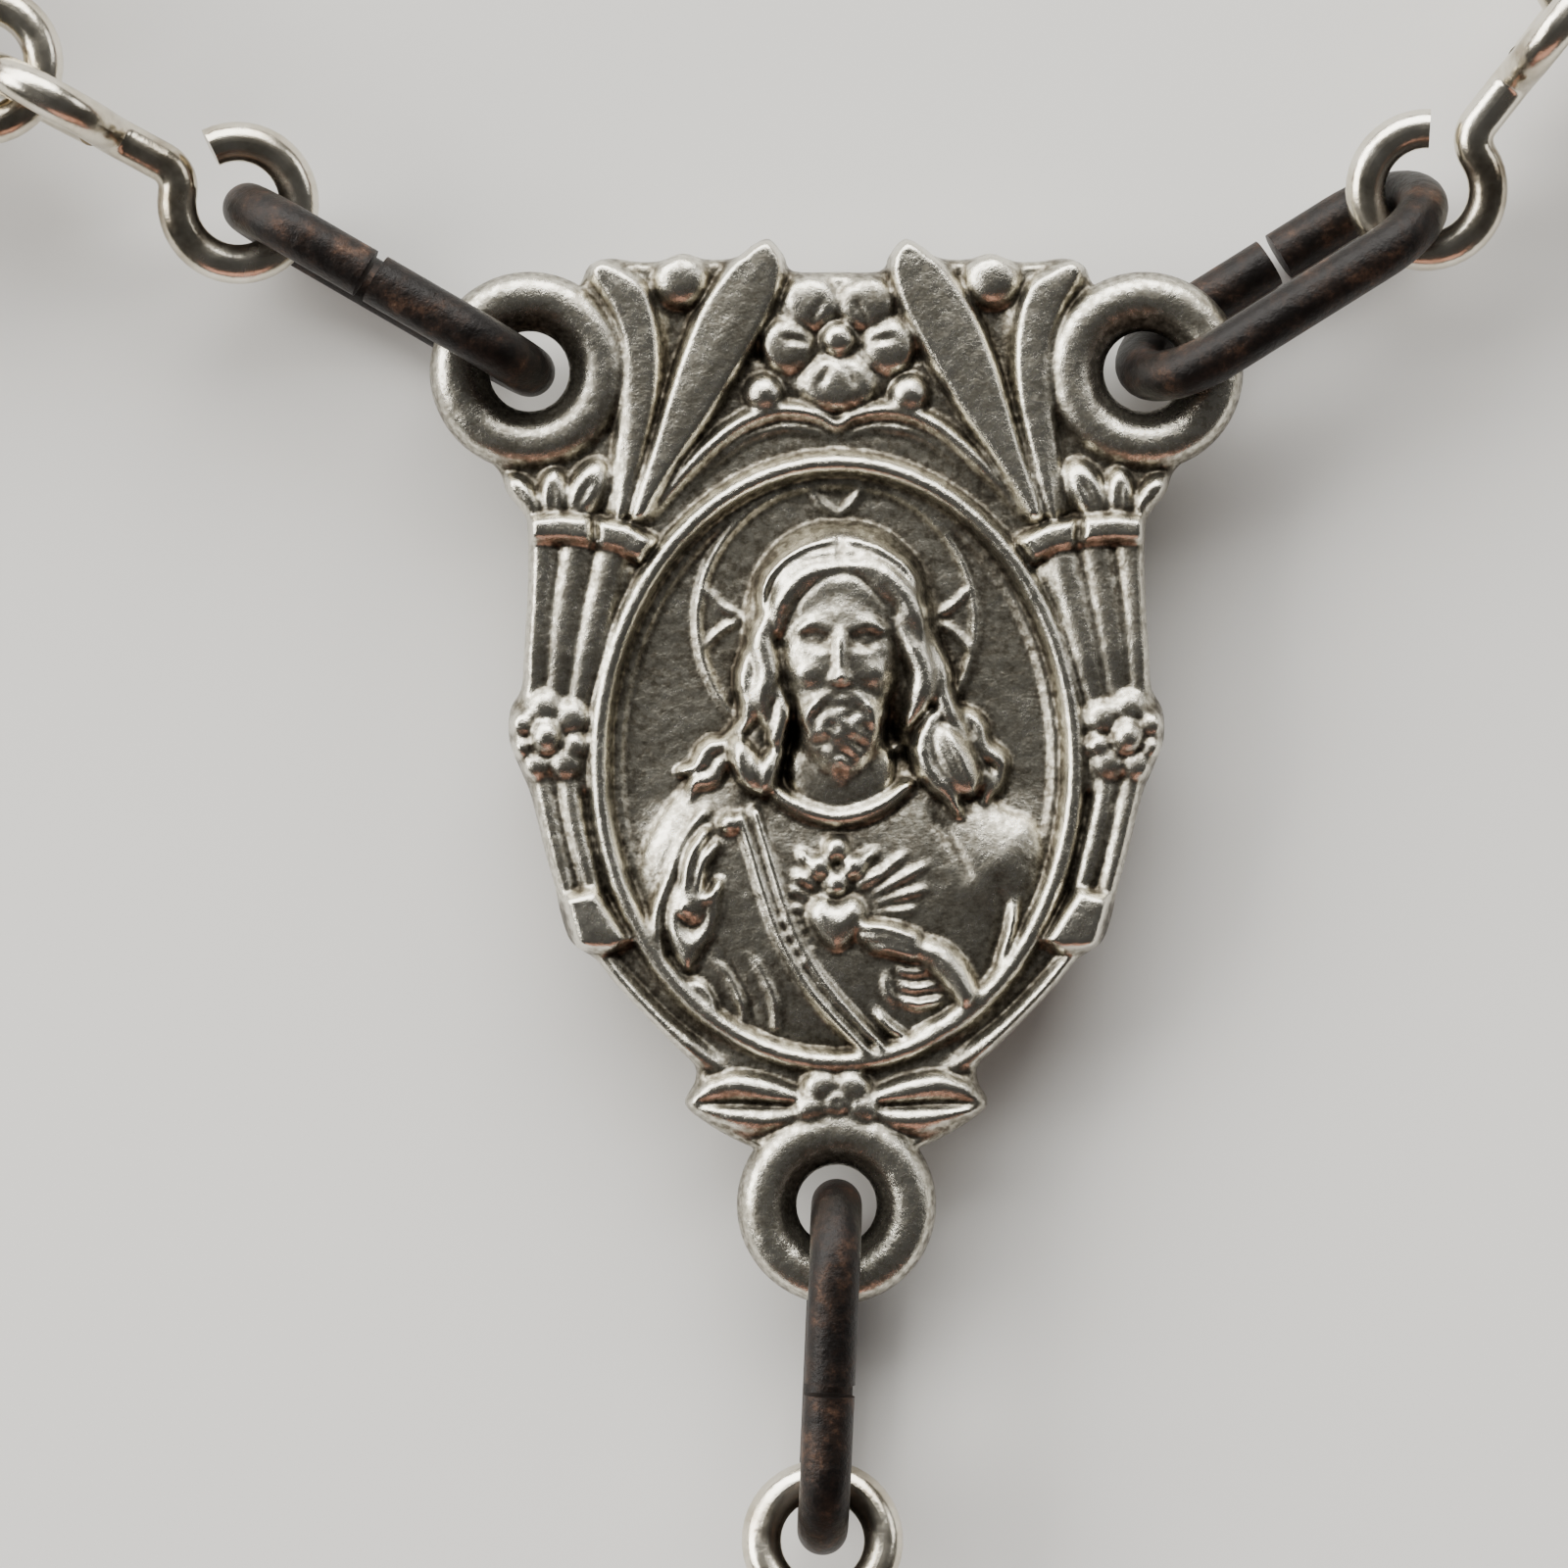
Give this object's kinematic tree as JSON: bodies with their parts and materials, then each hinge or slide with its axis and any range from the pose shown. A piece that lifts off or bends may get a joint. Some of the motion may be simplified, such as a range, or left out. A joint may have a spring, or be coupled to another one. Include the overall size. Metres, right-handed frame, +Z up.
{
  "type": "rosary",
  "caption": "Prayer rosary: a loop of beads on eyed wire pins, joined by a cast silver three-way centre with a blessing figure, and a short pendant that ends in a crucifix.",
  "frame": {"origin": "on the surface the rosary lies on, under the middle of its outline", "axes": "+Z up out of the faces of the medal and crucifix, +Y from the crucifix to the top of the loop, +X to the right"},
  "size_m": [0.215, 0.4062, 0.007],
  "materials": {
    "oxidised_silver": "cast silver plate, bright on the high edges, blackened and warm brown in the recesses",
    "dark_steel": "blackened steel wire, semi-gloss, with brown rust freckles",
    "silver_wire": "bright drawn silver wire with fine drawing lines and light tarnish",
    "hail_mary_wood": "turned dark red-brown hardwood, waxed",
    "our_father_glass": "deep red polished glass",
    "crucifix_silver": "cast silver plate, oxidised in the recesses",
    "corpus_silver": "cast silver plate, lightly polished",
    "title_silver": "blank silver plate, rubbed bright on the edges"
  },
  "bodies": {
    "centre_medal": {"centre_medal": "oxidised_silver"},
    "centre_left_oval_link": {"centre_left_oval_link": "dark_steel"},
    "centre_right_oval_link": {"centre_right_oval_link": "dark_steel"},
    "centre_pendant_oval_link": {"centre_pendant_oval_link": "dark_steel"},
    "centre_left_eye_link": {"centre_left_eye_link": "silver_wire"},
    "decade_1_first": {"decade_1_first_wires": "silver_wire", "decade_1_first_beads": "hail_mary_wood"},
    "decade_1_middle": {"decade_1_middle_wires": "silver_wire", "decade_1_middle_beads": "hail_mary_wood"},
    "decade_1_last": {"decade_1_last_wires": "silver_wire", "decade_1_last_beads": "hail_mary_wood"},
    "our_father_2_pin": {"our_father_2_pin": "silver_wire"},
    "our_father_2_bead": {"our_father_2_bead": "our_father_glass"},
    "decade_2_first": {"decade_2_first_wires": "silver_wire", "decade_2_first_beads": "hail_mary_wood"},
    "decade_2_middle": {"decade_2_middle_wires": "silver_wire", "decade_2_middle_beads": "hail_mary_wood"},
    "decade_2_last": {"decade_2_last_wires": "silver_wire", "decade_2_last_beads": "hail_mary_wood"},
    "our_father_3_pin": {"our_father_3_pin": "silver_wire"},
    "our_father_3_bead": {"our_father_3_bead": "our_father_glass"},
    "decade_3_first": {"decade_3_first_wires": "silver_wire", "decade_3_first_beads": "hail_mary_wood"},
    "centre_right_eye_link": {"centre_right_eye_link": "silver_wire"},
    "decade_5_last": {"decade_5_last_wires": "silver_wire", "decade_5_last_beads": "hail_mary_wood"},
    "decade_5_middle": {"decade_5_middle_wires": "silver_wire", "decade_5_middle_beads": "hail_mary_wood"},
    "decade_5_first": {"decade_5_first_wires": "silver_wire", "decade_5_first_beads": "hail_mary_wood"},
    "our_father_5_pin": {"our_father_5_pin": "silver_wire"},
    "our_father_5_bead": {"our_father_5_bead": "our_father_glass"},
    "decade_4_last": {"decade_4_last_wires": "silver_wire", "decade_4_last_beads": "hail_mary_wood"},
    "decade_4_middle": {"decade_4_middle_wires": "silver_wire", "decade_4_middle_beads": "hail_mary_wood"},
    "decade_4_first": {"decade_4_first_wires": "silver_wire", "decade_4_first_beads": "hail_mary_wood"},
    "our_father_4_pin": {"our_father_4_pin": "silver_wire"},
    "our_father_4_bead": {"our_father_4_bead": "our_father_glass"},
    "decade_3_last": {"decade_3_last_wires": "silver_wire", "decade_3_last_beads": "hail_mary_wood"},
    "centre_pendant_eye_link": {"centre_pendant_eye_link": "silver_wire"},
    "pendant_upper_our_father_pin": {"pendant_upper_our_father_pin": "silver_wire"},
    "pendant_upper_our_father_bead": {"pendant_upper_our_father_bead": "our_father_glass"},
    "pendant_upper_link": {"pendant_upper_link": "silver_wire"},
    "pendant_hail_mary_1_pin": {"pendant_hail_mary_1_pin": "silver_wire"},
    "pendant_hail_mary_1_bead": {"pendant_hail_mary_1_bead": "hail_mary_wood"},
    "pendant_hail_mary_2_pin": {"pendant_hail_mary_2_pin": "silver_wire"},
    "pendant_hail_mary_2_bead": {"pendant_hail_mary_2_bead": "hail_mary_wood"},
    "pendant_hail_mary_3_pin": {"pendant_hail_mary_3_pin": "silver_wire"},
    "pendant_hail_mary_3_bead": {"pendant_hail_mary_3_bead": "hail_mary_wood"},
    "pendant_middle_link": {"pendant_middle_link": "silver_wire"},
    "pendant_lower_our_father_pin": {"pendant_lower_our_father_pin": "silver_wire"},
    "pendant_lower_our_father_bead": {"pendant_lower_our_father_bead": "our_father_glass"},
    "pendant_lower_link": {"pendant_lower_link": "silver_wire"},
    "crucifix": {"crucifix_cross": "crucifix_silver", "crucifix_corpus": "corpus_silver", "crucifix_title_plate": "title_silver"}
  },
  "joints": [
    {"name": "centre_left_oval_swing", "type": "hinge", "parent": "centre_medal", "child": "centre_left_oval_link", "pos_m": [0.00144, -0.05417, 0.002], "axis": [0, 0, 1], "range_deg": [0, 20]},
    {"name": "centre_right_oval_swing", "type": "hinge", "parent": "centre_medal", "child": "centre_right_oval_link", "pos_m": [0.0142, -0.05417, 0.002], "axis": [0, 0, -1], "range_deg": [0, 18]},
    {"name": "centre_pendant_oval_swing", "type": "hinge", "parent": "centre_medal", "child": "centre_pendant_oval_link", "pos_m": [0.00782, -0.07148, 0.002], "axis": [0, 0, 1], "range_deg": [-25, 25]},
    {"name": "centre_left_eye_link_swing", "type": "hinge", "parent": "centre_left_oval_link", "child": "centre_left_eye_link", "pos_m": [-0.00439, -0.05081, 0.002], "axis": [0, 0, 1], "range_deg": [0, 12]},
    {"name": "centre_right_eye_link_swing", "type": "hinge", "parent": "centre_right_oval_link", "child": "centre_right_eye_link", "pos_m": [0.0199, -0.05061, 0.002], "axis": [0, 0, -1], "range_deg": [0, 12]},
    {"name": "centre_pendant_eye_link_swing", "type": "hinge", "parent": "centre_pendant_oval_link", "child": "centre_pendant_eye_link", "pos_m": [0.00752, -0.07821, 0.002], "axis": [0, 0, 1], "range_deg": [-20, 20]},
    {"name": "crucifix_lift", "type": "hinge", "parent": "pendant_lower_link", "child": "crucifix", "pos_m": [0.0061, -0.16055, 0.00175], "axis": [-0.9996, 0.0294, 0], "range_deg": [0, 60]},
    {"name": "pendant_upper_our_father_swing", "type": "hinge", "parent": "centre_pendant_eye_link", "child": "pendant_upper_our_father_pin", "pos_m": [0.00749, -0.08385, 0.0035], "axis": [0, 0, -1], "range_deg": [-25, 25]},
    {"name": "pendant_upper_link_swing", "type": "hinge", "parent": "pendant_upper_our_father_pin", "child": "pendant_upper_link", "pos_m": [0.00765, -0.0965, 0.0035], "axis": [0, 0, 1], "range_deg": [-30, 30]},
    {"name": "pendant_hail_mary_1_swing", "type": "hinge", "parent": "pendant_upper_link", "child": "pendant_hail_mary_1_pin", "pos_m": [0.00775, -0.10244, 0.003], "axis": [0, 0, -1], "range_deg": [-30, 30]},
    {"name": "pendant_hail_mary_2_swing", "type": "hinge", "parent": "pendant_hail_mary_1_pin", "child": "pendant_hail_mary_2_pin", "pos_m": [0.00781, -0.1141, 0.003], "axis": [0, 0, 1], "range_deg": [-30, 30]},
    {"name": "pendant_hail_mary_3_swing", "type": "hinge", "parent": "pendant_hail_mary_2_pin", "child": "pendant_hail_mary_3_pin", "pos_m": [0.00761, -0.12576, 0.003], "axis": [0, 0, -1], "range_deg": [-30, 30]},
    {"name": "pendant_middle_link_swing", "type": "hinge", "parent": "pendant_hail_mary_3_pin", "child": "pendant_middle_link", "pos_m": [0.00714, -0.13741, 0.003], "axis": [0, 0, 1], "range_deg": [-30, 30]},
    {"name": "pendant_lower_our_father_swing", "type": "hinge", "parent": "pendant_middle_link", "child": "pendant_lower_our_father_pin", "pos_m": [0.00684, -0.14334, 0.0035], "axis": [0, 0, -1], "range_deg": [-30, 30]},
    {"name": "pendant_lower_link_swing", "type": "hinge", "parent": "pendant_lower_our_father_pin", "child": "pendant_lower_link", "pos_m": [0.00623, -0.15599, 0.0035], "axis": [0, 0, 1], "range_deg": [-30, 30]},
    {"name": "decade_1_first_swing", "type": "hinge", "parent": "centre_left_eye_link", "child": "decade_1_first", "pos_m": [-0.00947, -0.0481, 0.003], "axis": [0, 0, -1], "range_deg": [-12, 0]},
    {"name": "decade_1_middle_swing", "type": "hinge", "parent": "decade_1_first", "child": "decade_1_middle", "pos_m": [-0.03889, -0.02921, 0.003], "axis": [0, 0, 1], "range_deg": [0, 15]},
    {"name": "decade_1_last_swing", "type": "hinge", "parent": "decade_1_middle", "child": "decade_1_last", "pos_m": [-0.07276, 0.0027, 0.003], "axis": [0, 0, -1], "range_deg": [-15, 0]},
    {"name": "our_father_2_swing", "type": "hinge", "parent": "decade_1_last", "child": "our_father_2_pin", "pos_m": [-0.09458, 0.03718, 0.0035], "axis": [0, 0, 1], "range_deg": [-12, 15]},
    {"name": "decade_2_first_swing", "type": "hinge", "parent": "our_father_2_pin", "child": "decade_2_first", "pos_m": [-0.09906, 0.04902, 0.0035], "axis": [0, 0, -1], "range_deg": [-15, 15]},
    {"name": "decade_2_middle_swing", "type": "hinge", "parent": "decade_2_first", "child": "decade_2_middle", "pos_m": [-0.10471, 0.08939, 0.003], "axis": [0, 0, 1], "range_deg": [-15, 15]},
    {"name": "decade_2_last_swing", "type": "hinge", "parent": "decade_2_middle", "child": "decade_2_last", "pos_m": [-0.09572, 0.1349, 0.003], "axis": [0, 0, -1], "range_deg": [-20, 20]},
    {"name": "our_father_3_swing", "type": "hinge", "parent": "decade_2_last", "child": "our_father_3_pin", "pos_m": [-0.0743, 0.16952, 0.0035], "axis": [0, 0, 1], "range_deg": [-20, 20]},
    {"name": "decade_3_first_swing", "type": "hinge", "parent": "our_father_3_pin", "child": "decade_3_first", "pos_m": [-0.065, 0.17812, 0.0035], "axis": [0, 0, -1], "range_deg": [-30, 30]},
    {"name": "decade_5_last_swing", "type": "hinge", "parent": "centre_right_eye_link", "child": "decade_5_last", "pos_m": [0.02345, -0.04607, 0.003], "axis": [0, 0, 1], "range_deg": [-12, 0]},
    {"name": "decade_5_middle_swing", "type": "hinge", "parent": "decade_5_last", "child": "decade_5_middle", "pos_m": [0.05072, -0.0242, 0.003], "axis": [0, 0, -1], "range_deg": [0, 15]},
    {"name": "decade_5_first_swing", "type": "hinge", "parent": "decade_5_middle", "child": "decade_5_first", "pos_m": [0.08106, 0.01108, 0.003], "axis": [0, 0, 1], "range_deg": [-15, 0]},
    {"name": "our_father_5_swing", "type": "hinge", "parent": "decade_5_first", "child": "our_father_5_pin", "pos_m": [0.09914, 0.04766, 0.0035], "axis": [0, 0, -1], "range_deg": [-12, 15]},
    {"name": "decade_4_last_swing", "type": "hinge", "parent": "our_father_5_pin", "child": "decade_4_last", "pos_m": [0.10234, 0.05991, 0.0035], "axis": [0, 0, 1], "range_deg": [-15, 15]},
    {"name": "decade_4_middle_swing", "type": "hinge", "parent": "decade_4_last", "child": "decade_4_middle", "pos_m": [0.1037, 0.10065, 0.003], "axis": [0, 0, -1], "range_deg": [-15, 15]},
    {"name": "decade_4_first_swing", "type": "hinge", "parent": "decade_4_middle", "child": "decade_4_first", "pos_m": [0.08993, 0.14496, 0.003], "axis": [0, 0, 1], "range_deg": [-20, 20]},
    {"name": "our_father_4_swing", "type": "hinge", "parent": "decade_4_first", "child": "our_father_4_pin", "pos_m": [0.06494, 0.17709, 0.0035], "axis": [0, 0, -1], "range_deg": [-20, 20]},
    {"name": "decade_3_last_swing", "type": "hinge", "parent": "our_father_4_pin", "child": "decade_3_last", "pos_m": [0.05479, 0.18465, 0.0035], "axis": [0, 0, 1], "range_deg": [-30, 30]},
    {"name": "our_father_2_spin", "type": "hinge", "parent": "our_father_2_pin", "child": "our_father_2_bead", "pos_m": [-0.09666, 0.04267, 0.0035], "axis": [-0.3537, 0.9354, 0], "continuous": true},
    {"name": "our_father_3_spin", "type": "hinge", "parent": "our_father_3_pin", "child": "our_father_3_bead", "pos_m": [-0.06999, 0.1735, 0.0035], "axis": [0.7341, 0.679, 0], "continuous": true},
    {"name": "our_father_5_spin", "type": "hinge", "parent": "our_father_5_pin", "child": "our_father_5_bead", "pos_m": [0.10062, 0.05334, 0.0035], "axis": [0.2531, 0.9674, 0], "continuous": true},
    {"name": "our_father_4_spin", "type": "hinge", "parent": "our_father_4_pin", "child": "our_father_4_bead", "pos_m": [0.06023, 0.1806, 0.0035], "axis": [-0.8025, 0.5967, 0], "continuous": true},
    {"name": "pendant_upper_our_father_spin", "type": "hinge", "parent": "pendant_upper_our_father_pin", "child": "pendant_upper_our_father_bead", "pos_m": [0.00757, -0.08972, 0.0035], "axis": [0.0128, -0.9999, 0], "continuous": true},
    {"name": "pendant_hail_mary_1_spin", "type": "hinge", "parent": "pendant_hail_mary_1_pin", "child": "pendant_hail_mary_1_bead", "pos_m": [0.00778, -0.10781, 0.003], "axis": [0.005, -1, 0], "continuous": true},
    {"name": "pendant_hail_mary_2_spin", "type": "hinge", "parent": "pendant_hail_mary_2_pin", "child": "pendant_hail_mary_2_bead", "pos_m": [0.00772, -0.11947, 0.003], "axis": [-0.0175, -0.9998, 0], "continuous": true},
    {"name": "pendant_hail_mary_3_spin", "type": "hinge", "parent": "pendant_hail_mary_3_pin", "child": "pendant_hail_mary_3_bead", "pos_m": [0.00739, -0.13113, 0.003], "axis": [-0.0399, -0.9992, 0], "continuous": true},
    {"name": "pendant_lower_our_father_spin", "type": "hinge", "parent": "pendant_lower_our_father_pin", "child": "pendant_lower_our_father_bead", "pos_m": [0.00656, -0.1492, 0.0035], "axis": [-0.0477, -0.9989, 0], "continuous": true}
  ]
}
